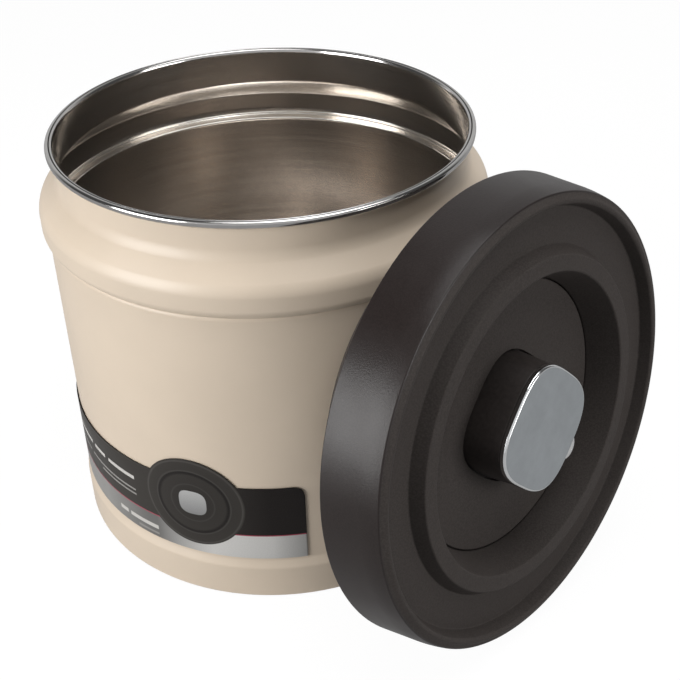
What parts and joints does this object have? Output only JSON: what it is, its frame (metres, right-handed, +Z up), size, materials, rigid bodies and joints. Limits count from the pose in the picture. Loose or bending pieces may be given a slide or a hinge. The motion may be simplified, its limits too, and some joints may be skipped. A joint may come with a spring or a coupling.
{
  "type": "vacuum canister",
  "caption": "Round steel coffee canister with a rolled rim and a bulged shoulder, its vacuum-pump lid taken off and leaning against its side.",
  "frame": {"origin": "middle of the underside of the canister's foot pad, on the surface that it stands on", "axes": "+Z up along the canister's axis, +Y away from the camera of the picture, +X to its right. The lid leans on the side at 43 degrees from +X towards -Y"},
  "size_m": [0.2176, 0.2192, 0.1561],
  "materials": {
    "vessel_wall": "satin",
    "vessel_floor": "satin",
    "base_plate": "satin",
    "base_pad": "matt",
    "label": "satin",
    "lid_cover": "matt",
    "well_plate": "matt",
    "lid_liner": "satin",
    "lid_gasket": "soft silicone",
    "pump_cylinder": "satin",
    "cylinder_cap": "matt",
    "intake_valve": "soft silicone",
    "dust_screen": "woven wire",
    "screen_holder": "matt",
    "return_spring": "drawn wire",
    "release_spring": "drawn wire",
    "screws": "zinc-plated",
    "button_column": "matt",
    "button_cap": "polished",
    "pump_piston": "satin",
    "piston_seal": "soft silicone",
    "exhaust_flap": "soft silicone",
    "release_knob": "polished",
    "release_stem": "matt",
    "release_plug": "soft silicone"
  },
  "bodies": {
    "canister": {"vessel_wall": "vessel_wall", "vessel_floor": "vessel_floor", "base_plate": "base_plate", "base_pad": "base_pad", "label": "label"},
    "lid": {"lid_cover": "lid_cover", "well_plate": "well_plate", "lid_liner": "lid_liner", "lid_gasket": "lid_gasket", "pump_cylinder": "pump_cylinder", "cylinder_cap": "cylinder_cap", "intake_valve": "intake_valve", "dust_screen": "dust_screen", "screen_holder": "screen_holder", "return_spring": "return_spring", "release_spring": "release_spring", "liner_screw_1": "screws", "liner_screw_2": "screws", "liner_screw_3": "screws", "cylinder_screw_1": "screws", "cylinder_screw_2": "screws", "cylinder_screw_3": "screws"},
    "button": {"button_column": "button_column", "button_cap": "button_cap", "pump_piston": "pump_piston", "piston_seal": "piston_seal", "exhaust_flap": "exhaust_flap"},
    "release": {"release_knob": "release_knob", "release_stem": "release_stem", "release_plug": "release_plug"}
  },
  "joints": [
    {"name": "lid_lift", "type": "slide", "parent": "canister", "child": "lid", "axis": [0.722, -0.6804, 0.1253], "range_m": [0, 0.11]},
    {"name": "button_press", "type": "slide", "parent": "lid", "child": "button", "axis": [-0.722, 0.6804, -0.1253], "range_m": [0, 0.009], "stiffness_N_per_m": 900, "springref_m": -0.003, "deforming": ["return_spring"]},
    {"name": "release_press", "type": "slide", "parent": "lid", "child": "release", "axis": [-0.722, 0.6804, -0.1253], "range_m": [0, 0.0018], "stiffness_N_per_m": 600, "springref_m": -0.002, "deforming": ["release_spring"]}
  ]
}
